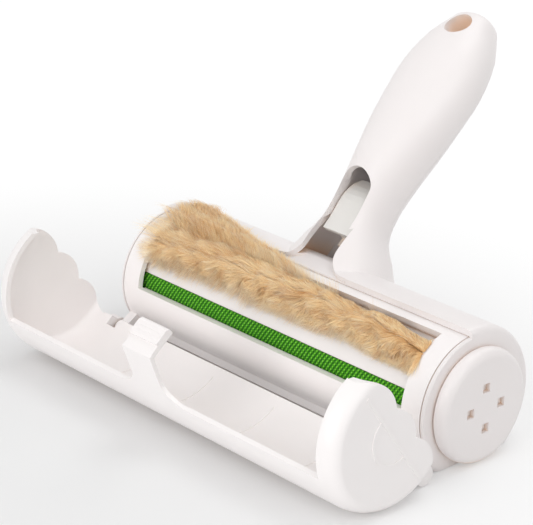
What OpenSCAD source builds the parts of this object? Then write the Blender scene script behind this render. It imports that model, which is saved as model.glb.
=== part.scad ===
// Roller brush that lifts pet hair off cloth: a rocking drum with two velvet
// strips in a round head, a hinged dust lid, and a handle with a release lever.
// Millimetres. The head lies along X, the handle rises to the back (+Y) and up.
// Most shapes are drawn about the head's own axis and moved to it at the end.

/* [Head] */
// Outer radius of the head, and of the lid when it is shut
head_r = 29.5; // [28:0.5:32]
// Length of the head between the outer faces of its end plates
head_len = 174.6; // [160:0.2:190]
// Thickness of the housing's wall
wall = 2.6; // [2:0.1:3]
// Thickness of each end plate at the wheel's bearing
plate_t = 4; // [3:0.5:5]
// Rounding of the end plates' outer edge
plate_round = 2.4; // [1:0.2:3]
// Height of the flat sole above the floor
sole_lift = 0.4; // [0.3:0.1:1]
// Width of the slot in the sole through which the drum works
sole_slot_w = 24; // [20:1:28]

/* [Front frame] */
// Thickness of the frame that surrounds the chamber window
frame_t = 2.3; // [2:0.1:2.6]
// Gap between the inside of the lid and the frame that it shuts on
lid_gap = 0.7; // [0.5:0.1:1]
// Width of the band at each end of the chamber window
band_w = 9.4; // [8:0.2:12]
// Angle of the window's back edge, counted up and over from the back
window_back = 104; // [102:1:108]
// Angle of the window's front edge
window_front = 176.5; // [170:0.5:178]
// Width of the groove between the frame and the end plates
frame_groove = 0.5; // [0.3:0.1:0.8]

/* [Drum] */
// Gap between the drum's bare plastic land and the inside of the frame
drum_gap = 1.8; // [1.6:0.1:2.4]
// Wall of the drum's tube
drum_wall = 2.4; // [2:0.1:3]
// Angle of the upper edge of the front velvet strip
velvet_top = 161; // [156:1:166]
// Angle of the lower edge of the front velvet strip
velvet_low = 250; // [240:1:256]
// Thickness of the velvet strips
velvet_t = 0.75; // [0.5:0.05:0.9]
// Half angle of the lug that stops the drum
stop_half = 4; // [3:0.5:5]
// Thickness of the soft wipers at the window's edges
wiper_t = 1.2; // [0.8:0.1:1.4]
// How far the drum rocks to each side
rock_angle = 30; // [20:1:35]

/* [Wheels] */
// How much less the wheels' radius is than that of the drum's land
wheel_step = 0.2; // [0:0.1:0.4]
// Thickness of a wheel outside the end plate
wheel_t = 5.5; // [4:0.1:6]
// Rounding of a wheel's outer edge
wheel_round = 3.6; // [2:0.2:4]
// Radius of the hub that turns in the end plate
hub_r = 12; // [11:0.5:13]
// Distance of the four pegs from the axis
peg_ring_r = 8; // [7.5:0.1:8.4]
// Side of a square peg
peg_w = 3.5; // [3:0.1:3.8]

/* [Lid] */
// Thickness of the lid
lid_t = 2.1; // [1.6:0.1:2.2]
// Angle at which the lid's free edge stops when it is shut
lid_free = 96.3; // [94:0.1:98]
// Angle of the lid's lower edge when it is shut
lid_low = 215; // [214:0.5:216]
// How far the lid swings open
lid_swing = 101; // [95:1:102]
// How far the hinge's axis lies outside the head
hinge_out = 4.9; // [4.5:0.1:5.5]
// Angle of the hinge about the head's axis
hinge_at = 211.8; // [211:0.1:213]
// How far each end wall of the lid stands outside the end plate
cap_out = 11.2; // [10.4:0.1:12]
// Axial depth of the rounded rim of an end wall
cap_depth = 9; // [8:0.2:10]
// Width of that rim, outside the end wall's flat face
cap_rim = 5.1; // [4.5:0.1:5.5]
// Angle at which the rim of an end wall ends, past the free edge
cap_tip = 20; // [16:1:24]
// Half width of the tongue in the middle of the free edge
tongue_half = 8.2; // [7.8:0.1:8.4]
// Length of the tongue beyond the free edge
tongue_len = 20.4; // [20:0.1:20.8]
// Half width of the tongue's foot, where it spreads into the free edge
foot_half = 21; // [18:0.5:24]
// Radius of the hinge pins
pin_r = 1.5; // [1.2:0.1:1.8]

/* [Handle] */
// Wall of the two handle shells
shell_t = 2.4; // [2:0.1:2.8]
// Radius of the hanging hole
hole_r = 5.5; // [5:0.1:6]
// Wall of the tube round the hanging hole
hole_wall = 2.2; // [1.8:0.1:2.6]
// Squareness of the handle's section, where 2 is an ellipse
squareness = 2.3; // [2:0.1:2.6]

/* [Release lever] */
// Half width of the slot in the handle
slot_half = 7.8; // [7.4:0.1:8]
// How much wider the slot is at its foot, where the tongue enters
slot_flare = 0.9; // [0.8:0.1:1.2]
// Gap between the lever's plate and the sides of its slot
lever_gap = 0.45; // [0.3:0.05:0.6]
// Thickness of the lever's plate
lever_t = 2.2; // [1.8:0.1:2.6]
// Angle through which the lever is pressed
press_angle = 7.5; // [6:0.5:8]
// Wire of the return spring
wire_d = 0.9; // [0.7:0.1:1]
// Outer diameter of the return spring
spring_d = 7.4; // [7:0.1:8]

/* [Pet hair] */
// Distance of the clump of hair from each end of the window
hair_end = 3; // [2:0.5:16]
// Thickness of the clump at its middle
hair_t = 11; // [8:0.5:13]

/* [Hidden] */
$fn = 96;
// Running gap of a shaft in its bearing
run_gap = 0.05;
// Gap between pieces that are pushed together
fit_gap = 0.1;
// A cut runs this far past the face it opens
over = 1;

half_len = head_len / 2;
inner_r = head_r - wall;
frame_r = head_r - lid_t - lid_gap;
frame_in_r = frame_r - frame_t;
drum_r = frame_in_r - drum_gap;
wheel_r = drum_r - wheel_step;
axis_z = wheel_r;
sole_z = sole_lift - wheel_r;
frame_half = half_len - 1.9;
window_half = frame_half - band_w;
// The end plate is a spigot that carries the frame, with a rim outside it
spigot_r = frame_in_r - 0.2;
rim_x = frame_half + frame_groove;
sole_slot = sole_slot_w / 2;

// The drum ends short of the end plates, and the wheels run just outside them
drum_x = half_len - plate_t - 2.5;
wheel_in = half_len + 0.3;
wheel_out = wheel_in + wheel_t;
velvet_r0 = drum_r - 0.3 - velvet_t;
stop_r = drum_r + 0.6;
wiper_r = drum_r + 0.35;
wiper_seat = 1.2;
front_wiper_at = window_front + 2.5;
rear_wiper_at = window_back - 3.5;

function polar(r, a) = [r * cos(a), r * sin(a)];
function turn(p, a) = [p[0] * cos(a) - p[1] * sin(a), p[0] * sin(a) + p[1] * cos(a)];
function arc(r, a0, a1, n = 24) = [for (i = [0:n]) polar(r, a0 + (a1 - a0) * i / n)];
function arc_at(c, r, a0, a1, n) = [for (p = arc(r, a0, a1, n)) c + p];
// A smooth curve through evenly spaced knots, from t = 0 to t = 1
function knot(v, i) = v[max(0, min(len(v) - 1, i))];
function blend4(a, b, c, d, f) =
    0.5 * (2 * b + (c - a) * f + (2 * a - 5 * b + 4 * c - d) * f * f + (3 * b - a - 3 * c + d) * f * f * f);
function smooth(v, t) =
    let (u = min(max(t, 0), 0.9999) * (len(v) - 1), i = floor(u))
    blend4(knot(v, i - 1), knot(v, i), knot(v, i + 1), knot(v, i + 2), u - i);
// An arc from p to q that stands out by rise on the right of the way from p to q
function bulge(p, q, rise, n = 14) =
    let (d = q - p, c = norm(d) / 2, r = (c * c + rise * rise) / (2 * rise),
         side = [d[1], -d[0]] / norm(d), mid = (p + q) / 2 - side * (r - rise), half = asin(c / r),
         face = atan2(side[1], side[0]))
    [for (i = [0:n]) mid + polar(r, face - half + 2 * half * i / n)];

module along_x(x0, x1) translate([x0, 0, 0]) rotate([90, 0, 90]) linear_extrude(x1 - x0) children();
module mid_x(len) along_x(-len / 2, len / 2) children();
module revolve() rotate([90, 0, 90]) rotate_extrude() children();
module both_sides() for (side = [0, 1]) mirror([side, 0, 0]) children();
module at_axis() translate([0, axis_y, axis_z]) children();
module sector(a0, a1, r = 3 * head_r) polygon(concat([[0, 0]], arc(r, a0, a1, 36)));
module ring(r0, r1, a0, a1) {
    intersection() {
        difference() {
            circle(r1);
            circle(r0);
        }
        sector(a0, a1);
    }
}
module above(z) translate([-2 * head_r, z]) square([4 * head_r, 4 * head_r]);
module behind(y) translate([y, -2 * head_r]) square([4 * head_r, 4 * head_r]);
module head_outline() {
    intersection() {
        circle(head_r);
        above(sole_z);
    }
}

// Hinge of the lid, and its path
hinge_r = head_r + hinge_out;
cap_face_r = head_r - cap_rim;
hinge = polar(hinge_r, hinge_at);
function about_hinge(r, a) = hinge + polar(r, a);
lid_in_r = head_r - lid_t;
cap_x = half_len + cap_out;
cap_start = cap_x - cap_depth;
fin_x = cap_start + 1;
body_top = lid_free - 1;
lip_at = lid_low + 2.5;
arm_x0 = frame_half - 4.6;
arm_x1 = frame_half - 0.2;
lug_x0 = arm_x1 + 0.8;
lug_x1 = lug_x0 + 5.4;
pin_x0 = arm_x0 + 0.6;
pin_x1 = lug_x1 - 0.6;
arm_r = pin_r + 1.9;
lug_r = pin_r + 2.6;

// Handle: its centre line as a curve of four points, and its half width and half thickness
handle_line = [[18.7, head_r - 0.8], [30.5, head_r + 23.2], [62.8, head_r + 52.5], [91.5, head_r + 80.4]];
half_widths = [17.5, 12.6, 11.4, 13.2, 15.8, 17.7, 18.4, 15.4, 8];
half_depths = [16, 14, 14.2, 14.8, 15, 14.7, 14.3, 12, 7.2];
handle_from = -0.16;
dome_from = 0.965;
seam_at = 0.45;
function line_at(t) =
    let (p = handle_line, s = 1 - t)
    t < 0 ? p[0] + 3 * t * (p[1] - p[0])
          : s * s * s * p[0] + 3 * s * s * t * p[1] + 3 * s * t * t * p[2] + t * t * t * p[3];
function line_way(t) = let (d = line_at(t + 0.01) - line_at(t - 0.01)) d / norm(d);
// The side of the handle that faces forwards and up
function line_front(t) = let (w = line_way(t)) [-w[1], w[0]];
function flare(t, size) = t < 0.1 ? size * (0.1 - t) * (0.1 - t) : 0;
function half_width(t) = smooth(half_widths, t) + flare(t, 150);
function half_depth(t) = smooth(half_depths, t) + flare(t, 110);
function dome(t) = t < dome_from ? 1 : sqrt(max(0.0004, 1 - pow((t - dome_from) / (1.0005 - dome_from), 2)));
function round_off(c) = sign(c) * pow(abs(c), 2 / squareness);
function handle_point(t, a, inset, size) =
    let (d = (half_depth(t) - inset) * size * round_off(sin(a)), c = line_at(t) + line_front(t) * d)
    [(half_width(t) - inset) * size * round_off(cos(a)), c[0], c[1]];
module loft(rings, sides, inset, domed) {
    last = len(rings) - 1;
    polyhedron([for (t = rings) for (j = [0:sides - 1]) handle_point(t, 360 * j / sides, inset, domed ? dome(t) : 1)],
        concat([[for (j = [0:sides - 1]) sides - 1 - j]],
            [for (i = [0:last - 1]) for (j = [0:sides - 1]) for (half = [0, 1])
                let (k = (j + 1) % sides, a = i * sides, b = a + sides)
                half == 0 ? [a + j, b + k, b + j] : [a + j, a + k, b + k]],
            [[for (j = [0:sides - 1]) last * sides + j]]), convexity = 6);
}
module handle_outside() {
    loft(concat([for (i = [0:25]) handle_from + (dome_from - handle_from) * i / 26],
                [for (i = [0:6]) dome_from + (1 - dome_from) * sin(15 * i)]), 36, 0, true);
}
module handle_inside() {
    last = dome_from - 0.015;
    loft([for (i = [0:17]) handle_from - 0.02 + (last + 0.02 - handle_from) * i / 17], 28, shell_t, false);
}
function seam_line(shift) =
    [for (i = [0:30]) let (t = handle_from - 0.14 + 1.4 * i / 30) line_at(t) - line_front(t) * (seam_at * half_depth(t) + shift)];
// Everything behind the seam between the two shells, moved back by a shift
module seam_back(shift) {
    line = seam_line(shift);
    mid_x(4 * head_r) polygon(concat(line, [line[30] + [60, 0], line[0] + [90, -30]]));
}
module at_handle(t) {
    p = line_at(t);
    n = line_front(t);
    translate([0, p[0], p[1]]) rotate([atan2(-n[0], n[1]), 0, 0]) children();
}
hole_t = 0.92;
hole_out = hole_r + hole_wall;
upper_screw_t = 0.7;
lower_screw_t = 0.48;
screw_r = 1.5;
screw_head_r = 2.9;
screw_head_t = 2;
post_r = 4.4;

// The slot in the handle, with its own frame: up the slot, and out of the handle
slot_foot = [7, head_r + 1.1];
slot_rise = 60.6;
slot_len = 36.7;
module in_slot() translate([0, slot_foot[0], slot_foot[1]]) rotate([slot_rise, 0, 0]) children();
module slot_cut() {
    in_slot() translate([0, 0, -24]) linear_extrude(44) {
        translate([-slot_half, 0]) square([2 * slot_half, slot_len - slot_half]);
        translate([0, slot_len - slot_half]) circle(slot_half);
        polygon([[-slot_half - slot_flare, 0], [slot_half + slot_flare, 0], [slot_half + slot_flare, 6],
                 [slot_half, 10], [-slot_half, 10], [-slot_half - slot_flare, 6]]);
    }
}

// Latch: the tongue, the tab at its end, and the nose of the lever that holds the tab
tongue_lift = 3;
tongue_t = 1.6;
tongue_way = lid_free - 90 + tongue_lift;
tongue_foot = polar(head_r, lid_free);
tongue_end = tongue_foot + polar(tongue_len, tongue_way);
tab_way = -61;
tab_len = 13;
tab_t = 2;
barb_at = 5.4;
barb = 1.2;
tab_half = tongue_half - 0.3;
tab_tip = tongue_end + polar(tab_len, tab_way);
tab_back = tab_tip + polar(tab_t, tab_way - 90);
tab_in_r = norm(tab_back - hinge);
tab_tip_a = atan2(tab_tip[1] - hinge[1], tab_tip[0] - hinge[0]) - 1;
barb_point = tongue_end + polar(barb_at, tab_way);
barb_r = norm(barb_point - hinge);
barb_a = atan2(barb_point[1] - hinge[1], barb_point[0] - hinge[0]);
// The lever turns about a pin set square to the way in which its nose must draw back
pivot = about_hinge(barb_r + 1.2, barb_a) + polar(11, barb_a - 90);
nose_half = 5.5;
lever_half = slot_half - lever_gap;
lever_hub_r = 2.7;
lever_pin_r = 1.3;
cheek_x0 = slot_half + slot_flare + 0.1;
cheek_x1 = cheek_x0 + 2.2;
// The lever's plate curves into the handle: the way up the slot and the depth of its outer face
lever_rise = [9.6, 12.5, 16.5, 21, 25.5, 29.5, 32.5];
lever_sink = [0.8, 1.7, 2.8, 3.7, 5.1, 7.9, 11.4];
function lever_spot(t) = [smooth(lever_rise, t), smooth(lever_sink, t)];
function lever_face(t, inset) =
    let (d = lever_spot(t + 0.02) - lever_spot(t - 0.02), p = lever_spot(t) + inset * [-d[1], d[0]] / norm(d))
    slot_foot + polar(p[0], slot_rise) + polar(p[1], slot_rise - 90);
spring_z = head_r + 16.5;
spring_y0 = 0.4 + max([for (i = [0:60]) let (p = lever_face(i / 60, lever_t))
    abs(p[1] - spring_z) < spring_d / 2 + 0.3 ? p[0] : 0]);
spring_len = 11.5;
spring_y1 = spring_y0 + spring_len;

// Overall box, for the origin: the lid's tab in front, the handle's tip behind
open_tab = hinge + turn(tongue_end - hinge, lid_swing);
tip_back = max([for (i = [0:20]) let (t = 0.8 + i / 100) line_at(t)[0] - line_front(t)[0] * half_depth(t) * dome(t)]);
axis_y = -(open_tab[0] + tip_back) / 2;

module on_tongue() translate([0, tongue_foot[0], tongue_foot[1]]) rotate([tongue_way, 0, 0]) children();
// Outline of the tongue in the plane of X and its own length, with its foot rounded into the free edge
module tongue_outline(room, len) {
    run = 8;
    wide = foot_half - tongue_half;
    flank = [for (i = [0:12]) let (a = 7.5 * i, n = [run * sin(a), wide * cos(a)])
        [tongue_half + wide * (1 - sin(a)), run * (1 - cos(a))] + room * n / norm(n)];
    polygon(concat([[foot_half + room, -1.5]], flank, [[tongue_half + room, len], [-tongue_half - room, len]],
        [for (i = [12:-1:0]) [-flank[i][0], flank[i][1]]], [[-foot_half - room, -1.5]]));
}

plate_x = half_len - plate_t;
module head_blank() {
    edge = arc_at([head_r - plate_round, half_len - plate_round], plate_round, 0, 90, 8);
    last = len(edge) - 1;
    revolve() polygon(concat([[0, -half_len]], [for (i = [0:last]) [edge[last - i][0], -edge[last - i][1]]], edge,
        [[0, half_len]]));
}
// Rear half of the head, before it is hollowed, with a full rim at each end
module head_solid() {
    intersection() {
        head_blank();
        union() {
            mid_x(2 * rim_x) intersection() {
                sector(-90, body_top);
                above(sole_z);
                union() {
                    behind(sole_slot);
                    above(0);
                }
            }
            both_sides() along_x(rim_x - 0.01, half_len + over) intersection() {
                sector(lip_at - 360, body_top);
                above(sole_z);
            }
        }
    }
    both_sides() intersection() {
        revolve() polygon([[0, plate_x - over], [spigot_r, plate_x - over], [spigot_r, rim_x], [frame_r, rim_x],
                           [frame_r, half_len - 0.5], [frame_r - 0.5, half_len], [0, half_len]]);
        along_x(0, head_len) above(sole_z);
    }
}
module head_hollow() {
    mid_x(2 * plate_x) {
        circle(frame_in_r);
        intersection() {
            circle(inner_r);
            sector(-41, 200);
        }
    }
    both_sides() {
        along_x(plate_x - over, half_len + over) circle(hub_r + run_gap);
        // Room for the back edge of the frame
        along_x(plate_x - over, rim_x) ring(spigot_r, frame_r + 0.2, 86, 180);
    }
}

module handle_front() {
    difference() {
        handle_outside();
        handle_inside();
        seam_back(0);
        slot_cut();
        // Its foot stays behind the edge that the lid shuts against
        mid_x(2 * head_r) sector(body_top, 180);
    }
    // Tube round the hanging hole, through both shells
    intersection() {
        at_handle(hole_t) cylinder(r = hole_out, h = 80, center = true);
        handle_outside();
    }
    for (t = [upper_screw_t, lower_screw_t]) at_handle(t)
        translate([0, 0, fit_gap - seam_at * half_depth(t)])
            cylinder(r = post_r, h = (1 + seam_at) * half_depth(t) - fit_gap - shell_t / 2);
}

// Cheeks on the head that carry the lever's pin
module lever_cheeks(room) {
    both_sides() along_x(cheek_x0 - room, cheek_x1 + room) {
        translate(pivot) circle(lever_pin_r + 1.3 + room);
        rotate(atan2(pivot[1], pivot[0])) translate([head_r - 1.5, -1.7 - room])
            square([norm(pivot) - head_r + 1.5, 3.4 + 2 * room]);
    }
}

// Space that the lid's tab sweeps, with some room round it
module tab_path(room) {
    mid_x(2 * (tab_half + room)) translate(hinge) intersection() {
        difference() {
            circle(norm(tongue_end - hinge) + room);
            circle(tab_in_r - room);
        }
        polygon([[0, 0], polar(90, tab_tip_a - 1.2), polar(90, 58)]);
    }
}

module main_housing() {
    color([0.93, 0.91, 0.91]) at_axis() difference() {
        union() {
            difference() {
                union() {
                    head_solid();
                    handle_front();
                }
                head_hollow();
            }
            lever_cheeks(0);
            // Stops of the drum
            both_sides() along_x(drum_x + 0.1, plate_x + 0.5) for (side = [-1, 1])
                rotate(side * (rock_angle + stop_half + 2.9)) translate([stop_r, -1]) square([inner_r - stop_r + 0.6, 2]);
        }
        // Channel in which the shut lid's tongue lies, and room for its tab
        on_tongue() translate([0, 0, -tongue_t - 0.3]) linear_extrude(12) tongue_outline(0.7, tongue_len + 2);
        tab_path(0.7);
        mid_x(2 * (cheek_x1 + over)) translate(pivot) circle(lever_pin_r + fit_gap / 2);
        at_handle(hole_t) cylinder(r = hole_r, h = 80, center = true);
        for (t = [upper_screw_t, lower_screw_t])
            at_handle(t) translate([0, 0, -20]) cylinder(r = screw_r + 0.03, h = 24);
    }
}

module front_frame() {
    color([0.93, 0.91, 0.91]) at_axis() {
        difference() {
            mid_x(2 * frame_half) {
                ring(frame_in_r, frame_r, 88, lip_at + 2);
                intersection() {
                    difference() {
                        head_outline();
                        circle(frame_in_r);
                        behind(-sole_slot);
                    }
                    sector(lip_at, 246);
                }
            }
            mid_x(2 * window_half) sector(window_back, window_front);
            for (a = [front_wiper_at, rear_wiper_at])
                mid_x(2 * (window_half + 0.2)) rotate(a) translate([0, -wiper_t / 2 - 0.1])
                    square([frame_in_r + wiper_seat + 0.05, wiper_t + 0.2]);
        }
        // Arms that carry the lid's hinge
        both_sides() along_x(arm_x0, arm_x1) difference() {
            union() {
                translate(hinge) circle(arm_r);
                intersection() {
                    rotate(hinge_at) translate([frame_in_r + 0.3, -2.2]) square([hinge_r - frame_in_r, 4.4]);
                    circle(hinge_r);
                }
            }
            translate(hinge) circle(pin_r + 0.02);
        }
    }
}

module handle_back_shell() {
    color([0.93, 0.91, 0.91]) at_axis() difference() {
        union() {
            intersection() {
                difference() {
                    handle_outside();
                    handle_inside();
                }
                seam_back(fit_gap);
            }
            intersection() {
                union() {
                    for (t = [upper_screw_t, lower_screw_t])
                        at_handle(t) translate([0, 0, -40 - seam_at * half_depth(t)]) cylinder(r = post_r, h = 40);
                    // Post that backs the lever's spring
                    translate([0, spring_y1 + 0.1, spring_z]) rotate([-90, 0, 0]) cylinder(r = spring_d / 2 + 0.6, h = 40);
                }
                handle_outside();
            }
        }
        mid_x(2 * head_r) circle(head_r + fit_gap);
        lever_cheeks(0.2);
        at_handle(hole_t) cylinder(r = hole_out + fit_gap, h = 80, center = true);
        for (t = [upper_screw_t, lower_screw_t]) {
            at_handle(t) translate([0, 0, -40]) cylinder(r = screw_r + 0.2, h = 60);
            at_handle(t) translate([0, 0, -40 - half_depth(t) + screw_head_t + 1])
                cylinder(r = screw_head_r + 0.2, h = 40);
        }
    }
}

module drum_tube() {
    color([0.9, 0.89, 0.88]) at_axis() mid_x(2 * drum_x) difference() {
        union() {
            circle(velvet_r0 - fit_gap / 2);
            ring(velvet_r0 - 1, drum_r, velvet_top - 142, velvet_top);
        }
        circle(drum_r - drum_wall);
    }
}

module drum_end() {
    color([0.9, 0.89, 0.88]) {
        along_x(drum_x + fit_gap / 2, drum_x + 2) {
            circle(drum_r - 0.6);
            intersection() {
                circle(stop_r + 1.3);
                sector(-stop_half, stop_half);
            }
        }
        along_x(drum_x - 5, drum_x + 1) difference() {
            circle(drum_r - drum_wall - fit_gap);
            circle(drum_r - drum_wall - 2);
        }
        for (a = [0, 90, 180, 270])
            along_x(drum_x + 1, wheel_out - 2) rotate(a) translate([peg_ring_r, 0]) square(peg_w, center = true);
    }
}
module left_drum_end() at_axis() mirror([1, 0, 0]) drum_end();
module right_drum_end() at_axis() drum_end();

module velvet() {
    color([0.2, 0.48, 0.1]) mid_x(2 * drum_x - 1.6) ring(velvet_r0, velvet_r0 + velvet_t, velvet_top + 1, velvet_low - 1);
}
module front_velvet() at_axis() velvet();
module rear_velvet() at_axis() mirror([0, 1, 0]) velvet();

module wheel() {
    color([0.93, 0.91, 0.91]) difference() {
        union() {
            revolve() polygon(concat([[0, wheel_in], [wheel_r - 1.2, wheel_in]],
                arc_at([wheel_r - 1.2, wheel_in + 1.2], 1.2, -90, 0, 4),
                arc_at([wheel_r - wheel_round, wheel_out - wheel_round], wheel_round, 0, 90, 12),
                [[0, wheel_out]]));
            along_x(drum_x + 2.2, wheel_in + 1) circle(hub_r);
        }
        for (a = [0, 90, 180, 270])
            along_x(0, 2 * head_len) rotate(a) translate([peg_ring_r, 0]) square(peg_w + 0.15, center = true);
    }
}
module left_wheel() at_axis() mirror([1, 0, 0]) wheel();
module right_wheel() at_axis() wheel();

module wiper(a) {
    color([0.88, 0.86, 0.85]) mid_x(2 * window_half) rotate(a) translate([wiper_r, -wiper_t / 2])
        square([frame_in_r + wiper_seat - wiper_r, wiper_t]);
}
module front_wiper() at_axis() wiper(front_wiper_at);
module rear_wiper() at_axis() wiper(rear_wiper_at);

// Scalloped edge of the lid's end walls, drawn with the lid shut, from the hinge to the tip
tip = polar(head_r - 0.7, cap_tip);
cusps = head_r * [[-0.78, -0.508], [-0.18, -0.342], [0.356, -0.112]];
scallop = concat(bulge(cusps[0], cusps[1], 4), bulge(cusps[1], cusps[2], 3.3), bulge(cusps[2], tip, 4.2));
module cap_outline() polygon(concat(scallop, arc(2 * head_r, cap_tip, 213.5, 40)));

function cap_curve(inset) =
    [for (a = [0:6:90]) [cap_face_r + (head_r - cap_face_r - inset) * cos(a), cap_start + (cap_depth - inset) * sin(a)]];
module lid_shell() {
    outer = cap_curve(0);
    inner = cap_curve(lid_t);
    last = len(outer) - 1;
    difference() {
        revolve() polygon(concat([for (i = [0:last]) [outer[last - i][0], -outer[last - i][1]]], outer,
            [[0, cap_x], [0, -cap_x]]));
        revolve() polygon(concat([for (i = [0:last]) [inner[last - i][0], -inner[last - i][1]]], inner,
            [[0, cap_x - lid_t], [0, lid_t - cap_x]]));
    }
}

module lid_parts() {
    intersection() {
        lid_shell();
        union() {
            mid_x(2 * fin_x) sector(lid_free, lid_low);
            both_sides() along_x(fin_x, cap_x + over) cap_outline();
        }
    }
    // Tongue, and the tab that drops from its end into the latch
    on_tongue() translate([0, 0, -tongue_t]) linear_extrude(tongue_t) tongue_outline(0, tongue_len);
    mid_x(2 * tab_half) translate(tongue_end) rotate(tab_way) {
        translate([0, -tab_t]) square([tab_len, tab_t]);
        polygon([[barb_at, -1], [barb_at, barb], [tab_len - 1.4, barb], [tab_len, barb - 0.9], [tab_len, -1]]);
    }
    // Grips across the tab
    for (i = [0:3]) mid_x(2 * tab_half - 1.6) translate(tongue_end) rotate(tab_way)
        translate([barb_at + 1.2 + 1.6 * i, barb - 0.3]) square([0.7, 0.55]);
    // Stiffening ribs inside the skin
    for (x = [-54, -18, 18, 54]) along_x(x - 0.6, x + 0.6) ring(lid_in_r - 0.35, lid_in_r + 0.3, 112, 205);
    both_sides() {
        // Hinge lug and its web
        along_x(lug_x0, lug_x1) {
            translate(hinge) circle(lug_r);
            intersection() {
                translate(hinge) rotate(45) translate([0, -3]) square([6.4, 6]);
                circle(hinge_r);
            }
        }
        // Raised lines on the face of the end wall
        along_x(cap_x - 0.5, cap_x + 0.3) {
            intersection() {
                rotate(23) translate([-head_r, -0.6]) square([2 * head_r, 1.2]);
                circle(cap_face_r - 1);
                cap_outline();
            }
            ring(9.5, 10.5, 23, 203);
        }
    }
}

module lid() {
    color([0.93, 0.91, 0.91]) at_axis()
    translate([0, hinge[0], hinge[1]]) rotate([lid_swing, 0, 0]) translate([0, -hinge[0], -hinge[1]]) difference() {
        lid_parts();
        both_sides() {
            // Notch for the frame's arm
            along_x(arm_x0 - 0.4, lug_x0) sector(206.3, 222);
            along_x(arm_x1, pin_x1 + 0.3) translate(hinge) circle(pin_r + run_gap);
        }
    }
}

module hinge_pin() color([0.75, 0.75, 0.77]) along_x(pin_x0, pin_x1) translate(hinge) circle(pin_r);
module left_hinge_pin() at_axis() mirror([1, 0, 0]) hinge_pin();
module right_hinge_pin() at_axis() hinge_pin();

module bar(p, q, w) translate(p) rotate(atan2(q[1] - p[1], q[0] - p[0])) translate([0, -w / 2]) square([norm(q - p), w]);
module release_lever() {
    joint = lever_face(0.3, lever_t / 2);
    color([0.92, 0.9, 0.9]) at_axis() difference() {
        union() {
            // Plate, with its upper end rounded as the slot is
            intersection() {
                mid_x(2 * lever_half) polygon(concat([for (i = [0:12]) lever_face(i / 12, 0)],
                    [for (i = [12:-1:0]) lever_face(i / 12, lever_t)]));
                in_slot() translate([0, 0, -20]) linear_extrude(24) {
                    translate([-lever_half, 0]) square([2 * lever_half, slot_len - slot_half]);
                    translate([0, slot_len - slot_half]) circle(lever_half);
                }
            }
            // Rib down the middle of the leg
            mid_x(1.2) bar((pivot + 2 * joint) / 3, joint, 5);
            mid_x(2 * nose_half) {
                translate(pivot) circle(lever_hub_r);
                bar(pivot, joint, 3);
                // Nose that holds the barb of the tab
                translate(tongue_end) rotate(tab_way) polygon([[barb_at - 2.2, 0.2], [barb_at - 0.25, 0.2],
                    [barb_at - 0.25, 2.6], [barb_at + 1, 6], [barb_at - 3, 6]]);
            }
        }
        mid_x(4 * nose_half) translate(pivot) circle(lever_pin_r + run_gap);
    }
}
module lever_pin() color([0.75, 0.75, 0.77]) at_axis() mid_x(2 * cheek_x1) translate(pivot) circle(lever_pin_r);

// Round wire wound along Y, closed at both ends
module lever_spring() {
    turns = 5;
    steps = 16 * turns;
    sides = 6;
    wind_r = (spring_d - wire_d) / 2;
    points = [for (i = [0:steps]) for (j = [0:sides - 1])
        let (a = 360 * turns * i / steps, r = wind_r + wire_d / 2 * cos(60 * j))
        [r * cos(a), spring_y0 + wire_d / 2 + (spring_len - wire_d) * i / steps + wire_d / 2 * sin(60 * j), r * sin(a)]];
    color([0.72, 0.73, 0.75]) at_axis() translate([0, 0, spring_z]) polyhedron(points, concat(
        [[for (j = [0:sides - 1]) j]],
        [for (i = [0:steps - 1]) for (j = [0:sides - 1]) for (half = [0, 1])
            let (k = (j + 1) % sides, a = i * sides, b = a + sides)
            half == 0 ? [a + j, b + j, b + k] : [a + j, b + k, a + k]],
        [[for (j = [0:sides - 1]) steps * sides + sides - 1 - j]]), convexity = 10);
}

module screw(t) {
    back = -half_depth(t) + 1;
    color([0.7, 0.7, 0.72]) at_axis() at_handle(t) difference() {
        union() {
            translate([0, 0, back]) cylinder(r = screw_head_r, h = screw_head_t);
            translate([0, 0, back + 1]) cylinder(r = screw_r, h = half_depth(t) + 2);
        }
        for (a = [0, 90]) rotate(a) translate([-1.8, -0.4, back - over]) cube([3.6, 0.8, over + 1.1]);
    }
}
module upper_screw() screw(upper_screw_t);
module lower_screw() screw(lower_screw_t);

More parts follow.
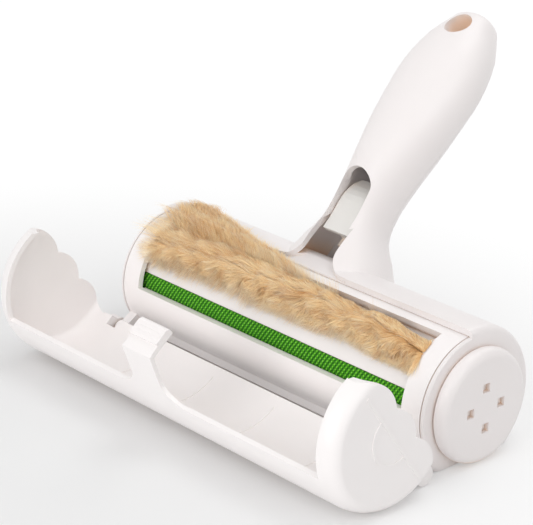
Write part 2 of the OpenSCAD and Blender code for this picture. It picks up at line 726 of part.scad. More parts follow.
// Clump of hair on the drum, in the window
module pet_hair() {
    across = 40;
    around = 12;
    from = window_back + 3;
    to = window_front - 21.5;
    function height(u, v) =
        hair_t * pow(max(0, sin(180 * v)), 0.6) * pow(max(0, sin(180 * u)), 0.35)
        * (0.78 + 0.14 * sin(900 * u + 200 * v) + 0.08 * cos(2100 * u - 300 * v));
    low = drum_r + 0.4;
    function spot(u, v, r) = let (p = polar(r, from + (to - from) * v)) [2 * (window_half - hair_end) * (u - 0.5), p[0], p[1]];
    top = [for (i = [0:across]) for (j = [0:around]) let (u = i / across, v = j / around) spot(u, v, low + 0.5 + height(u, v))];
    base = [for (i = [0:across]) for (j = [0:around]) spot(i / across, j / around, low)];
    n = around + 1;
    m = len(top);
    color([0.85, 0.7, 0.48]) at_axis() polyhedron(concat(top, base), concat(
        [for (i = [0:across - 1]) for (j = [0:around - 1]) for (half = [0, 1]) let (a = i * n + j, b = a + n)
            half == 0 ? [a, b, b + 1] : [a, b + 1, a + 1]],
        [for (i = [0:across - 1]) for (j = [0:around - 1]) for (half = [0, 1]) let (a = m + i * n + j, b = a + n)
            half == 0 ? [a, b + 1, b] : [a, a + 1, b + 1]],
        [for (i = [0:across - 1]) for (half = [0, 1]) let (a = i * n, b = a + n)
            half == 0 ? [a, a + m, b + m] : [a, b + m, b]],
        [for (i = [0:across - 1]) for (half = [0, 1]) let (a = i * n + around, b = a + n)
            half == 0 ? [a, b + m, a + m] : [a, b, b + m]],
        [for (j = [0:around - 1]) for (half = [0, 1]) half == 0 ? [j, j + 1, j + 1 + m] : [j, j + 1 + m, j + m]],
        [for (j = [0:around - 1]) for (half = [0, 1]) let (a = across * n + j)
            half == 0 ? [a, a + 1 + m, a + 1] : [a, a + m, a + 1 + m]]), convexity = 8);
}

main_housing();
front_frame();
handle_back_shell();
drum_tube();
left_drum_end();
right_drum_end();
front_velvet();
rear_velvet();
left_wheel();
right_wheel();
front_wiper();
rear_wiper();
lid();
left_hinge_pin();
right_hinge_pin();
release_lever();
lever_pin();
lever_spring();
upper_screw();
lower_screw();
pet_hair();
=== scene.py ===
import math

import bpy
import numpy as np
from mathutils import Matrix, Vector


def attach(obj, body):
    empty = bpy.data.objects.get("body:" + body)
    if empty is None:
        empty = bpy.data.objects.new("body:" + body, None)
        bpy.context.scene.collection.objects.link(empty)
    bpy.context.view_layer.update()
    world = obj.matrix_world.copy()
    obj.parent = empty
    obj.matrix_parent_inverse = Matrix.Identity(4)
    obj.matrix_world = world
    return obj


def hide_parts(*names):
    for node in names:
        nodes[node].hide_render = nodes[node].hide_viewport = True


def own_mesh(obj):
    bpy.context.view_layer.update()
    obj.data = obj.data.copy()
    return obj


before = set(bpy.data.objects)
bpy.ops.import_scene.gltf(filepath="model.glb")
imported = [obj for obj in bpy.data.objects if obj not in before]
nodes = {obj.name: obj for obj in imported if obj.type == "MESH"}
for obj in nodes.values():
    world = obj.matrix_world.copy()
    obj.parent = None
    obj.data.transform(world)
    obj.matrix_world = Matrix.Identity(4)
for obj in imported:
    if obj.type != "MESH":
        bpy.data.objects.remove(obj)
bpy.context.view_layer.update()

# Head axis in the file's frame, metres: it runs along X through (AXIS_Y, AXIS_Z)
AXIS_Y, AXIS_Z = -0.0033973, 0.0224
MM = 0.001

WHITE = (1.0, 1.0, 1.0, 1.0)
BLACK = (0.0, 0.0, 0.0, 1.0)

# Camera
AZIMUTH, ELEVATION = math.radians(48.35), math.radians(22.05)
DISTANCE = 0.8553
# The photograph is PHOTO_W pixels wide, and its focal length in pixels is FOCAL_PX
PHOTO_W, FOCAL_PX = 533.0, 2147.3
SENSOR_MM = 36.0
LEVEL = math.cos(ELEVATION)
BACK = Vector((math.sin(AZIMUTH) * LEVEL, -math.cos(AZIMUTH) * LEVEL, math.sin(ELEVATION)))
TARGET = Vector((-0.02686, AXIS_Y, 0.0208 + AXIS_Z))
cam_data = bpy.data.cameras.new("camera")
cam_data.sensor_fit = "HORIZONTAL"
cam_data.sensor_width = SENSOR_MM
cam_data.lens = SENSOR_MM * FOCAL_PX / PHOTO_W
cam_data.clip_start = 0.01
cam_data.clip_end = 20.0
cam = bpy.data.objects.new("camera", cam_data)
cam.location = TARGET + BACK * DISTANCE
cam.rotation_euler = (-BACK).to_track_quat("-Z", "Y").to_euler()
bpy.context.scene.collection.objects.link(cam)
bpy.context.scene.camera = cam
bpy.context.scene.view_settings.view_transform = "Standard"


# Materials
def lin(r, g, b):
    """Linear colour from 0..255 display values."""
    out = []
    for c in (r / 255.0, g / 255.0, b / 255.0):
        out.append(c / 12.92 if c <= 0.04045 else ((c + 0.055) / 1.055) ** 2.4)
    return (out[0], out[1], out[2], 1.0)


class Mat:
    """A node material with small helpers, so that each surface below reads as a short list."""

    def __init__(self, name, **values):
        self.mat = bpy.data.materials.new(name)
        self.mat.use_nodes = True
        self.nt = self.mat.node_tree
        self.bsdf = next(n for n in self.nt.nodes if n.type == "BSDF_PRINCIPLED")
        self.coords = self.nt.nodes.new("ShaderNodeTexCoord")
        for key, value in values.items():
            self.bsdf.inputs[key.replace("_", " ")].default_value = value

    def new(self, kind, **settings):
        node = self.nt.nodes.new(kind)
        for key, value in settings.items():
            setattr(node, key, value)
        return node

    def link(self, a, b):
        self.nt.links.new(a, b)

    def math(self, op, a, b=None):
        node = self.new("ShaderNodeMath", operation=op)
        for i, v in enumerate((a, b)):
            if v is None:
                continue
            if isinstance(v, (int, float)):
                node.inputs[i].default_value = v
            else:
                self.link(v, node.inputs[i])
        return node.outputs[0]

    def noise(self, scale, detail, rough=0.5, vector=None):
        node = self.new("ShaderNodeTexNoise")
        node.inputs["Scale"].default_value = scale
        node.inputs["Detail"].default_value = detail
        node.inputs["Roughness"].default_value = rough
        self.link(vector or self.coords.outputs["Object"], node.inputs["Vector"])
        return node.outputs["Fac"]

    def ramp(self, fac, stops):
        node = self.new("ShaderNodeValToRGB")
        el = node.color_ramp.elements
        while len(el) < len(stops):
            el.new(0.5)
        for e, (pos, colour) in zip(el, stops):
            e.position = pos
            e.color = colour
        self.link(fac, node.inputs["Fac"])
        return node.outputs["Color"]

    def blend(self, fac, a, colour):
        """From a, where fac is 0, to one colour, where it is 1."""
        node = self.new("ShaderNodeMix", data_type="RGBA")
        self.link(fac, node.inputs[0])
        self.link(a, node.inputs[6])
        node.inputs[7].default_value = colour
        return node.outputs[2]

    def bump(self, height, strength, distance):
        node = self.new("ShaderNodeBump")
        node.inputs["Strength"].default_value = strength
        node.inputs["Distance"].default_value = distance
        self.link(height, node.inputs["Height"])
        self.link(node.outputs["Normal"], self.bsdf.inputs["Normal"])

    def map_range(self, fac, lo, hi):
        node = self.new("ShaderNodeMapRange")
        node.inputs["To Min"].default_value = lo
        node.inputs["To Max"].default_value = hi
        self.link(fac, node.inputs["Value"])
        return node.outputs["Result"]


# How much darker the plastic's faint clouds are, and how far round a point a hollow is looked for, metres
CLOUD = 0.02
HOLLOW_REACH = 0.012
# Painted shade: colours that the plastic turns to in its hollows, standing in for the shade there
PAINTED_SHADE_WARM = lin(248, 218, 192)
PAINTED_SHADE_SAND = lin(255, 222, 190)


def plastic(name, colour, rough=0.34, grain=0.00002, hollow_shade_colour=PAINTED_SHADE_WARM, hollow=(0.04, 0.34), alone=False):
    """Moulded white plastic: an even warm white, with very fine grain and slightly uneven gloss.

    It turns to a painted shade colour in the hollows that ambient occlusion finds, between the two openness
    values of hollow, standing in for the shade that falls there. Where alone is set, only the piece's own
    walls count as closing a hollow.
    """
    m = Mat(name, Roughness=rough, IOR=1.5)
    r, g, b, _ = colour
    cloudy = (r * (1 - CLOUD), g * (1 - CLOUD * 1.25), b * (1 - CLOUD * 1.3), 1.0)
    open_to_light = m.new("ShaderNodeAmbientOcclusion", samples=8)
    open_to_light.inputs["Distance"].default_value = HOLLOW_REACH
    open_to_light.only_local = alone
    hollow_shade_mask = m.ramp(open_to_light.outputs["AO"], [(hollow[0], WHITE), (hollow[1], BLACK)])
    body = m.ramp(m.noise(28.0, 3.0, 0.55), [(0.32, cloudy), (0.68, colour)])
    # Painted shade: the base colour turns to the shade colour where ambient occlusion finds a hollow
    m.link(m.blend(hollow_shade_mask, body, hollow_shade_colour), m.bsdf.inputs["Base Color"])
    wear = m.noise(420.0, 4.0, 0.6)
    m.link(m.map_range(wear, rough - 0.06, rough + 0.07), m.bsdf.inputs["Roughness"])
    m.bump(m.noise(2600.0, 2.0, 0.5), 0.22, grain)
    return m.mat


# Painted light: the frame's white is a little lighter than the handle's, to make up for the shade it stands
# in
white = plastic("white_moulding", lin(251, 247, 246))
WIDE_HOLLOW = (0.14, 0.56)
white_handle = plastic("white_moulding_handle", lin(244, 239, 238), hollow_shade_colour=PAINTED_SHADE_SAND, hollow=WIDE_HOLLOW, alone=True)
# Painted light: the lid's white is lighter than the handle's, to make up for the shade inside the lid
white_lid = plastic("white_moulding_lid", lin(249, 245, 244), rough=0.36, hollow_shade_colour=lin(236, 226, 221))
white_wheel = plastic("white_moulding_wheel", lin(243, 238, 237), rough=0.3)
white_drum = plastic("white_moulding_drum", lin(245, 241, 239), rough=0.38)
white_lever = plastic("white_moulding_lever", lin(232, 230, 226), rough=0.33, hollow_shade_colour=PAINTED_SHADE_SAND, hollow=WIDE_HOLLOW)
soft_strip = plastic("soft_strip", lin(244, 240, 238), rough=0.62, grain=0.00004)


def steel(name):
    """Plain steel with fine drawn lines along X."""
    m = Mat(name, Metallic=1.0, Roughness=0.34)
    streak = m.new("ShaderNodeMapping")
    streak.inputs["Scale"].default_value = (1.0, 14.0, 14.0)
    m.link(m.coords.outputs["Object"], streak.inputs["Vector"])
    lines = m.noise(300.0, 3.0, 0.6, streak.outputs["Vector"])
    m.link(m.ramp(lines, [(0.3, lin(172, 172, 176)), (0.7, lin(205, 205, 208))]), m.bsdf.inputs["Base Color"])
    m.link(m.map_range(lines, 0.26, 0.42), m.bsdf.inputs["Roughness"])
    m.bump(lines, 0.15, 0.00002)
    return m.mat


steel_mat = steel("plain_steel")


# Velvet: radius at which its weave is measured, and the spacing of its slanted ribs and of the picks that
# cross them, metres, with the slant of each
WEAVE_R = 0.0223
RIB_PITCH, PICK_PITCH = 0.0019, 0.0015
RIB_SLANT, PICK_SLANT = 0.62, 0.35


def velvet_mat(name):
    """Directional lint velvet: slanted ribs of short pile, woven on a fine grid round the drum."""
    m = Mat(name, Roughness=0.82, Sheen_Weight=0.12, Sheen_Roughness=0.45, Specular_IOR_Level=0.2)
    split = m.new("ShaderNodeSeparateXYZ")
    m.link(m.coords.outputs["Object"], split.inputs[0])
    x = split.outputs["X"]
    y = m.math("SUBTRACT", split.outputs["Y"], AXIS_Y)
    z = m.math("SUBTRACT", split.outputs["Z"], AXIS_Z)
    arc = m.math("MULTIPLY", m.math("ARCTAN2", z, y), WEAVE_R)
    wobble = m.math("MULTIPLY", m.math("SUBTRACT", m.noise(160.0, 2.0), 0.5), 0.0005)

    def wave(place, pitch):
        return m.math("SINE", m.math("MULTIPLY", m.math("ADD", place, wobble), 2 * math.pi / pitch))

    ribs = wave(m.math("ADD", x, m.math("MULTIPLY", arc, RIB_SLANT)), RIB_PITCH)
    picks = wave(m.math("SUBTRACT", arc, m.math("MULTIPLY", x, PICK_SLANT)), PICK_PITCH)
    knots = m.math("MULTIPLY", m.math("MULTIPLY", ribs, picks), 0.45)
    weave = m.math("ADD", m.math("MULTIPLY", ribs, 0.62), knots)
    fluff = m.math("SUBTRACT", m.noise(2100.0, 3.0, 0.7), 0.5)
    raised = m.math("ADD", m.math("MULTIPLY", weave, 0.4), 0.44)
    height = m.math("ADD", raised, m.math("MULTIPLY", fluff, 0.7))
    # Painted shade and highlight, with the velvet's own dark and light green: the weave's low grooves are
    # coloured darker and its raised ribs lighter
    weave_shade_colours = [
        (0.12, lin(18, 74, 2)), (0.42, lin(52, 134, 8)), (0.68, lin(92, 180, 28)), (0.95, lin(160, 228, 96)),
    ]
    m.link(m.ramp(height, weave_shade_colours), m.bsdf.inputs["Base Color"])
    m.bump(height, 0.75, 0.0003)
    return m.mat


velvet = velvet_mat("lint_velvet")


def fur_mat(name, root, middle, tip, darker):
    """Fur strands: colour runs from root to tip and varies from lock to lock, by vertex attributes; the shade
    attribute carries painted shade in the gaps between locks as well as the fur's own random tone.
    """
    m = Mat(name, Roughness=0.55, Specular_IOR_Level=0.25, Sheen_Weight=0.12, Sheen_Roughness=0.5)
    along = m.new("ShaderNodeAttribute", attribute_name="along")
    shade = m.new("ShaderNodeAttribute", attribute_name="shade")
    base = m.ramp(along.outputs["Fac"], [(0.0, root), (0.45, middle), (1.0, tip)])
    m.link(m.blend(shade.outputs["Fac"], base, darker), m.bsdf.inputs["Base Color"])
    return m.mat


# Root to tip the fur runs from gold to near white; the near-white tips, like the paler wisps, are partly the
# hair's own colour and partly painted light for the soft bright fringe of the tuft.
fur = fur_mat("golden_fur", lin(236, 188, 126), lin(254, 226, 176), lin(255, 248, 232), lin(220, 167, 108))

paint = {
    "main_housing": white_handle, "handle_back_shell": white_handle, "front_frame": white,
    "drum_tube": white_drum, "left_drum_end": white_drum, "right_drum_end": white_drum,
    "left_wheel": white_wheel, "right_wheel": white_wheel,
    "front_velvet": velvet, "rear_velvet": velvet,
    "front_wiper": soft_strip, "rear_wiper": soft_strip,
    "lid": white_lid, "release_lever": white_lever,
    "left_hinge_pin": steel_mat, "right_hinge_pin": steel_mat,
    "lever_pin": steel_mat, "lever_spring": steel_mat,
    "upper_screw": steel_mat, "lower_screw": steel_mat,
    "pet_hair": fur,
}
for name, obj in nodes.items():
    obj.data.materials.clear()
    obj.data.materials.append(paint[name])


# Points closer than this are one point, metres, and edges flatter than this are shaded smooth, degrees
WELD, SMOOTH_BELOW = 0.000004, 26.0


def smooth_group():
    """Shading that is smooth across flat edges, so that a faceted moulding looks curved."""
    group = bpy.data.node_groups.new("smooth_by_angle", "GeometryNodeTree")
    group.interface.new_socket("Geometry", in_out="INPUT", socket_type="NodeSocketGeometry")
    group.interface.new_socket("Geometry", in_out="OUTPUT", socket_type="NodeSocketGeometry")
    came = group.nodes.new("NodeGroupInput")
    gone = group.nodes.new("NodeGroupOutput")
    bare = group.nodes.new("GeometryNodeRemoveAttribute")
    bare.inputs["Name"].default_value = "custom_normal"
    weld = group.nodes.new("GeometryNodeMergeByDistance")
    weld.inputs["Distance"].default_value = WELD
    bend = group.nodes.new("GeometryNodeInputMeshEdgeAngle")
    flat = group.nodes.new("FunctionNodeCompare")
    flat.operation = "LESS_THAN"
    flat.inputs[1].default_value = math.radians(SMOOTH_BELOW)
    faces = group.nodes.new("GeometryNodeSetShadeSmooth")
    edges = group.nodes.new("GeometryNodeSetShadeSmooth")
    edges.domain = "EDGE"
    group.links.new(came.outputs[0], bare.inputs[0])
    group.links.new(bare.outputs[0], weld.inputs[0])
    group.links.new(weld.outputs[0], faces.inputs[0])
    group.links.new(faces.outputs[0], edges.inputs[0])
    group.links.new(bend.outputs[0], flat.inputs[0])
    group.links.new(flat.outputs[0], edges.inputs["Shade Smooth"])
    group.links.new(edges.outputs[0], gone.inputs[0])
    return group


moulded = smooth_group()
for name in ("main_housing", "handle_back_shell"):
    nodes[name].modifiers.new("smooth", "NODES").node_group = moulded


# Fur
# A place on the head is given in mm along it, degrees over it (90 is its top, and more is further to the
# front) and mm of radius.
# Lowest radius of the fur over the drum, the shell and the frame, each a little more than the solid's own
OVER_DRUM, OVER_SHELL, OVER_FRAME = 23.0, 29.75, 27.2
# The window's back edge, and the place just short of the window's end from which the fur lies over the frame
WINDOW_BACK, END_X = 104, 75.0
# Angle at which the fur's lowest radius starts to climb from drum to shell, and the length of the climb
CLIMB_FROM, CLIMB = 109.0, 7.0
# Radius at which lengths across the fur are turned into degrees
FUR_R = 27.0
# Radius at which the matted mass starts, and about how high it stands over that at the parting
MAT_R, MAT_HEIGHT = 23.2, 6.4
# Strands are rooted between these places along the head
ROOT_X = (-70, 77)
# Points along a strand, locks from the parting to the tuft's edge, and how many locks are unlike
ROWS, RINGS, LOCKS = 7, 4.0, 997
FRONT, REAR = 1, -1


def on_head(x, angle, r):
    """Points in the file's frame, metres, from places on the head."""
    a = np.radians(angle)
    return np.stack([x * MM, r * np.cos(a) * MM + AXIS_Y, r * np.sin(a) * MM + AXIS_Z], axis=-1)


# The parting of the tuft: place along the head, and angle
PART_X = [-82, -75, -60, -51, -29, 2, 12, 26, 36, 43, 52, 60, 70, 80]
PART_A = [134, 133, 131, 129, 125, 124, 122, 122, 125, 123, 121, 124, 126, 128]


def spine(x):
    """Angle at which the tuft's parting lies, for a place along the head."""
    return np.interp(x, PART_X, PART_A)


def fringe(x):
    """Angle at which the tuft ends towards the front."""
    line = np.interp(x, [-70, -20, 30, 75], [143.5, 143.5, 145.0, 147.0])
    return line + 1.8 * np.sin(x / 11.0 + 0.6) + 1.2 * np.sin(x / 4.7 + 2.0)


def shell_edge(x):
    """Where the tuft ends towards the back: over the shell at its left end, in the window at its right."""
    return np.interp(x, [-80, -62, -40, -20, 0, 30, 80], [66, 74, 88, 98, 104, 110.5, 114])


def under(x, angle):
    """Lowest radius of the fur: over the drum in the window, and over the shell behind it."""
    t = np.clip((CLIMB_FROM - angle) / CLIMB, 0, 1)
    return OVER_DRUM + (OVER_SHELL - OVER_DRUM) * t * t * (3 - 2 * t)


def body_r(x, angle):
    """Radius of the top of the matted mass that carries the strands."""
    part = spine(x)
    back = np.interp(x, [-80, -40, 0, 80], [24, 20, 13, 12])
    spread = np.where(angle > part, 14.5, back)
    hump = MAT_HEIGHT * np.exp(-((angle - part) / spread) ** 2)
    lumps = 0.7 * np.sin(x / 3.9 + angle / 6.0) + 0.5 * np.sin(x / 2.0 - angle / 4.0)
    ends = np.clip((80.0 - np.abs(x)) / 16.0, 0.04, 1)
    top = MAT_R + (hump + lumps * np.clip(hump / 3.0, 0, 1)) * ends ** 0.6
    return np.maximum(top, under(x, angle) + 0.25)


def fur_piece(name, mesh, along, shade):
    """An object of the fur, with a place along the strand and a shade for each point."""
    for key, value in (("along", along), ("shade", shade)):
        mesh.attributes.new(key, "FLOAT", "POINT").data.foreach_set("value", value.astype(np.float32))
    mesh.materials.append(fur)
    piece = bpy.data.objects.new(name, mesh)
    bpy.context.scene.collection.objects.link(piece)
    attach(piece, "frame")
    return piece


def ribbons(name, x, angle, r, width, shade, rng):
    """One piece of thin curved ribbons from their centre lines, each tapering to its tip."""
    count = len(x)
    t = np.linspace(0, 1, ROWS)
    centre = on_head(x, angle, r)
    tangent = np.gradient(centre, axis=1)
    tangent /= np.linalg.norm(tangent, axis=2, keepdims=True) + 1e-9
    radial = np.stack([np.zeros_like(angle), np.cos(np.radians(angle)), np.sin(np.radians(angle))], axis=-1)
    roll = rng.uniform(-0.8, 0.8, count)[:, None, None]
    across = np.cross(tangent, radial) + roll * radial
    across /= np.linalg.norm(across, axis=2, keepdims=True) + 1e-9
    taper = (1 - 0.88 * t ** 1.5) * (0.5 + 0.5 * np.minimum(t * 5, 1))
    half = across * ((width * MM * rng.uniform(0.7, 1.3, count))[:, None] * taper)[:, :, None] / 2
    verts = np.stack([centre - half, centre + half], axis=2).reshape(-1, 3)
    base = (np.arange(count) * ROWS * 2)[:, None] + (np.arange(ROWS - 1) * 2)[None, :]
    faces = np.stack([base, base + 1, base + 3, base + 2], axis=-1).reshape(-1, 4)
    mesh = bpy.data.meshes.new(name)
    mesh.vertices.add(len(verts))
    mesh.vertices.foreach_set("co", verts.astype(np.float32).ravel())
    mesh.loops.add(faces.size)
    mesh.loops.foreach_set("vertex_index", faces.astype(np.int32).ravel())
    mesh.polygons.add(len(faces))
    mesh.polygons.foreach_set("loop_start", np.arange(0, faces.size, 4, dtype=np.int32))
    mesh.update(calc_edges=True)
    mesh.polygons.foreach_set("use_smooth", np.ones(len(faces), bool))
    return fur_piece(name, mesh, np.repeat(np.tile(t, count), 2), np.repeat(np.repeat(shade, ROWS), 2))


def walked(start, steps):
    """Places along a strand, from its root and the steps between its rows."""
    return start[:, None] + np.concatenate([np.zeros((len(start), 1)), np.cumsum(steps, axis=1)], axis=1)


def strands(name, count, seed, side, cell, clump, width, loose, wisp=0.0):
    """Strands on one side of the parting, in locks that lie like the barbs of a feather, tips to the left.

    side is FRONT or REAR, cell the length of a lock's root along the head, clump how far a lock draws
    together, loose how much strands stray, and wisp is 1 for the pale strands at the edges.
    """
    rng = np.random.default_rng(seed)
    front = side == FRONT
    t = np.linspace(0, 1, ROWS)[None, :]
    x0 = rng.uniform(*ROOT_X, count)
    u = rng.uniform(0.5 * wisp, 1, count) ** 0.9
    # The lock that each strand belongs to, and what the strands of a lock share
    skew = 0.35 * side * u
    i = np.floor(x0 / cell + skew * 3 + rng.normal(0, 0.12, count)).astype(int)
    j = np.floor(u * RINGS + rng.normal(0, 0.1, count)).astype(int)
    key = (i * 13 + j * 71 + 4000) % LOCKS
    table = np.random.default_rng(seed + 7).normal(0, 1, (LOCKS, 5))
    pick = table[key]
    xc = (i + 0.5 - 3 * skew) * cell
    dx0 = np.clip(x0 - xc, -cell, cell)
    dj = u * RINGS - (j + 0.5)
    room = fringe(x0) - spine(x0) if front else spine(x0) - shell_edge(x0)
    # Fan: the angle between a strand and the tuft's own line, which grows from the parting outwards
    right_end = np.clip((x0 - 60.0) / 14.0, 0, 1)
    fan = (11 + 36 * u if front else 7 + 27 * u) + 7 * pick[:, 0] + rng.normal(0, 5 + 9 * loose, count)
    fan = np.clip(fan, -12, 88)
    fan = fan * (1 - right_end) + right_end * ((64 if front else 36) + rng.normal(0, 18, count))
    size = np.interp(x0, [-75, -35, 0, 40, 78], [14, 17, 17, 14, 8] if front else [20, 20, 15, 10.5, 6])
    long = size * rng.uniform(0.62, 1.15, count) * (1 + 0.1 * pick[:, 1]) * (1 - 0.25 * u) * (1 - 0.2 * wisp)
    step = np.degrees(long * np.sin(np.radians(np.clip(fan, 5, 120))) / FUR_R)
    # How much of its reach a strand may lie beyond the tuft's edge
    past = 0.15 + wisp * (0.2 if front else np.interp(x0, [-10, 25], [0.5, 0.0]))
    start = u * np.clip(room - step * (1 - past), 2.0, 60.0)
    a0 = spine(x0) + side * start
    bow = np.radians(fan)[:, None] + np.radians(14 + 6 * pick[:, 2])[:, None] * (0.5 - t)
    bow += np.radians(rng.normal(0, 7, count))[:, None] * (t - 0.3)
    ds = long[:, None] / (ROWS - 1)
    x = walked(x0, -np.cos(bow[:, :-1]) * ds)
    run = walked(np.zeros(count), np.sin(bow[:, :-1]) * ds)
    # Strands of a lock draw together towards its tip
    close = clump * t ** 1.4
    x = x - dx0[:, None] * close
    angle = a0[:, None] + side * (np.degrees(run / FUR_R) - (dj * room / 4.5)[:, None] * close)
    lift = (0.35 + 0.9 * rng.uniform(0, 1, count) + 0.35 * pick[:, 3])[:, None]
    lock_bulge = 0.7 * np.exp(-(dj * 2.2) ** 2)[:, None] * np.sin(np.pi * t)
    lock_bulge = lock_bulge * (1 + 0.4 * pick[:, 4])[:, None]
    r = body_r(x, angle) + np.clip(lift, 0.1, 2.2) * (0.25 + 1.9 * t * (1.15 - t)) + lock_bulge * 1.2
    r = np.maximum(r, under(x, angle) + 0.2 + rng.uniform(0, 0.5, (count, 1)))
    # The frame carries the fur at the window's ends
    r = np.where((np.abs(x) > END_X) & (angle > WINDOW_BACK), np.maximum(r, OVER_FRAME), r)
    # Painted shade: strands at a lock's edges are darker, as shadow in the gaps between locks, and those at
    # its middle lighter, as a painted highlight. The rest is random tone from lock to lock and strand to
    # strand, and wisps are paler, partly as painted light.
    lock_middle = np.exp(-(dj * 2.4) ** 2)
    shade = np.clip(0.36 - 0.42 * lock_middle + 0.2 * pick[:, 3] + rng.normal(0, 0.22, count) - 0.35 * wisp, 0, 1)
    return ribbons(name, x, angle, r, width, shade, rng)


def undercoat():
    """The matted mass under the strands: a lumpy blanket that follows the tuft's shape."""
    across, around = 150, 48
    half_x, rim_r, base_r = 74.5, 23.1, 23.3
    u = np.linspace(-1, 1, across)
    v = np.linspace(0, 1, around)
    uu, vv = np.meshgrid(u, v, indexing="ij")
    x = uu * half_x
    lo, hi = np.interp(x, [-10, 30, 75], [104.5, 111, 114]), fringe(x) - 5.0
    angle = lo + (hi - lo) * vv
    edge = np.clip((1 - np.abs(uu)) * 12, 0, 1) * np.clip(vv * 30 + 0.5, 0, 1)
    edge = edge * np.clip((1 - vv) * 5.0, 0, 1)
    r = rim_r + np.maximum(body_r(x, angle) - base_r, 0.1) * edge ** 0.6
    verts = on_head(x, angle, r).reshape(-1, 3)
    rng = np.random.default_rng(5)
    verts += rng.normal(0, 0.0001, verts.shape)
    idx = np.arange(across * around).reshape(across, around)
    faces = [(int(idx[i, j]), int(idx[i + 1, j]), int(idx[i + 1, j + 1]), int(idx[i, j + 1]))
             for i in range(across - 1) for j in range(around - 1)]
    mesh = bpy.data.meshes.new("fur_undercoat")
    mesh.from_pydata([tuple(p) for p in verts], [], faces)
    mesh.polygons.foreach_set("use_smooth", np.ones(len(faces), bool))
    n = len(verts)
    piece = fur_piece("fur_undercoat", mesh, rng.uniform(0.0, 0.5, n), rng.uniform(0.3, 0.8, n))
    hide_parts("pet_hair")
    return piece


fur_pieces = [
    undercoat(),
    strands("fur_front", 15500, 11, FRONT, cell=3.4, clump=0.56, width=0.2, loose=0.2),
    strands("fur_rear", 15500, 12, REAR, cell=3.4, clump=0.54, width=0.2, loose=0.2),
    strands("fur_front_fine", 15500, 13, FRONT, cell=2.2, clump=0.42, width=0.13, loose=0.7),
    strands("fur_rear_fine", 15500, 14, REAR, cell=2.4, clump=0.38, width=0.13, loose=0.8),
    strands("fur_front_wisps", 5500, 15, FRONT, cell=3.0, clump=0.3, width=0.09, loose=1.2, wisp=1.0),
    strands("fur_rear_wisps", 5500, 16, REAR, cell=3.0, clump=0.3, width=0.09, loose=1.2, wisp=1.0),
]


def pressed(piece):
    """Gives a piece its own copy of its mesh."""
    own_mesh(piece)


# Each piece of the fur gets its own copy of its mesh, the rear pieces as the others
for piece in fur_pieces:
    if "rear" in piece.name:
        pressed(piece)
    else:
        pressed(piece)


# World and floor
# Strength of the world's light on the object, and of the white seen behind it
WORLD_LIGHT, WORLD_SEEN = 0.56, 1.0
# Half the floor's side, and how far it lies below the object, metres
FLOOR_HALF, FLOOR_DROP = 3.0, 0.0001
FLOOR_GREY = (0.87, 0.87, 0.87, 1.0)
# Strength of the floor's glow, and the place round which it fades in
GLOW = 1.02
GLOW_MIDDLE = (-0.04, -0.1, 0.0)


def camera_or_gloss(tree):
    """1 for camera, glossy and transmission rays, 0 for the rays that light the object."""
    path = tree.nodes.new("ShaderNodeLightPath")
    result = path.outputs["Is Camera Ray"]
    for ray in ("Is Glossy Ray", "Is Transmission Ray"):
        either = tree.nodes.new("ShaderNodeMath")
        either.operation = "MAXIMUM"
        tree.links.new(result, either.inputs[0])
        tree.links.new(path.outputs[ray], either.inputs[1])
        result = either.outputs[0]
    return result


def studio_world():
    """White surroundings that light the object less than they show behind it."""
    world = bpy.data.worlds.new("studio")
    bpy.context.scene.world = world
    world.use_nodes = True
    tree = world.node_tree
    tree.nodes.clear()
    mix = tree.nodes.new("ShaderNodeMixShader")
    tree.links.new(camera_or_gloss(tree), mix.inputs[0])
    for socket, strength in ((1, WORLD_LIGHT), (2, WORLD_SEEN)):
        sky = tree.nodes.new("ShaderNodeBackground")
        sky.inputs["Color"].default_value = WHITE
        sky.inputs["Strength"].default_value = strength
        tree.links.new(sky.outputs[0], mix.inputs[socket])
    out = tree.nodes.new("ShaderNodeOutputWorld")
    tree.links.new(mix.outputs[0], out.inputs["Surface"])


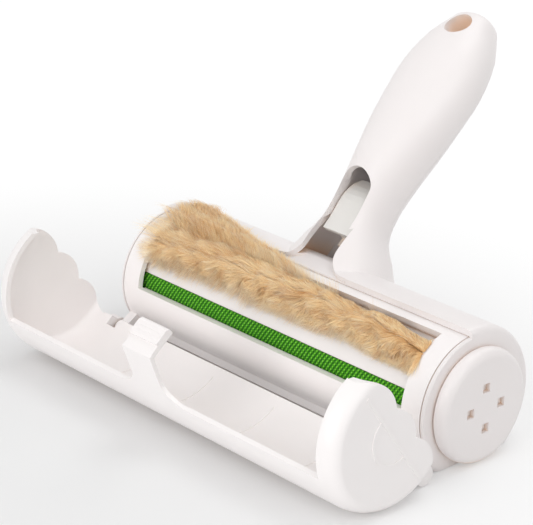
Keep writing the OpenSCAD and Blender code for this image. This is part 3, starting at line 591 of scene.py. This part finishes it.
def floor_mat(name):
    """Pale floor that, for the camera, keeps the object's shadow and fades to white away from it."""
    m = Mat(name, Roughness=0.9, Specular_IOR_Level=0.0, Base_Color=FLOOR_GREY)
    glow = m.new("ShaderNodeEmission")
    glow.inputs["Color"].default_value = WHITE
    glow.inputs["Strength"].default_value = GLOW
    apart = m.new("ShaderNodeVectorMath", operation="DISTANCE")
    apart.inputs[1].default_value = GLOW_MIDDLE
    m.link(m.coords.outputs["Object"], apart.inputs[0])
    fade = m.new("ShaderNodeMapRange", interpolation_type="SMOOTHSTEP")
    for socket, value in (("From Min", 0.06), ("From Max", 0.31), ("To Min", 0.04), ("To Max", 1.0)):
        fade.inputs[socket].default_value = value
    m.link(apart.outputs["Value"], fade.inputs["Value"])
    mix = m.new("ShaderNodeMixShader")
    m.link(m.math("MULTIPLY", camera_or_gloss(m.nt), fade.outputs["Result"]), mix.inputs[0])
    m.link(m.bsdf.outputs[0], mix.inputs[1])
    m.link(glow.outputs[0], mix.inputs[2])
    out = next(n for n in m.nt.nodes if n.type == "OUTPUT_MATERIAL")
    m.link(mix.outputs[0], out.inputs["Surface"])
    return m.mat


def studio_floor():
    """A square floor just below the object."""
    mesh = bpy.data.meshes.new("floor")
    signs = ((-1, -1), (1, -1), (1, 1), (-1, 1))
    mesh.from_pydata([(sx * FLOOR_HALF, sy * FLOOR_HALF, 0) for sx, sy in signs], [], [(0, 1, 2, 3)])
    mesh.materials.append(floor_mat("floor"))
    floor = bpy.data.objects.new("floor", mesh)
    bpy.context.scene.collection.objects.link(floor)
    floor.location.z = -FLOOR_DROP


studio_world()
studio_floor()

# Lamps
LAMP_SIZE = 0.9
LAMP_AIM = Vector((0, 0, 0.04))


def lamp(name, location, power):
    """A soft round lamp that faces the brush."""
    data = bpy.data.lights.new(name, "AREA")
    data.shape = "DISK"
    data.size = LAMP_SIZE
    data.energy = power
    obj = bpy.data.objects.new(name, data)
    obj.location = location
    obj.rotation_euler = (LAMP_AIM - Vector(location)).to_track_quat("-Z", "Y").to_euler()
    bpy.context.scene.collection.objects.link(obj)


lamp("top", (0.15, 0.35, 1.3), 3.6)
lamp("side", (1.2, -0.35, 1.05), 2.6)
lamp("low", (0.15, -1.25, 0.42), 5.0)
lamp("front", (0.45, -1.1, 0.9), 1.2)
lamp("back", (-0.3, 1.1, 1.0), 1.8)
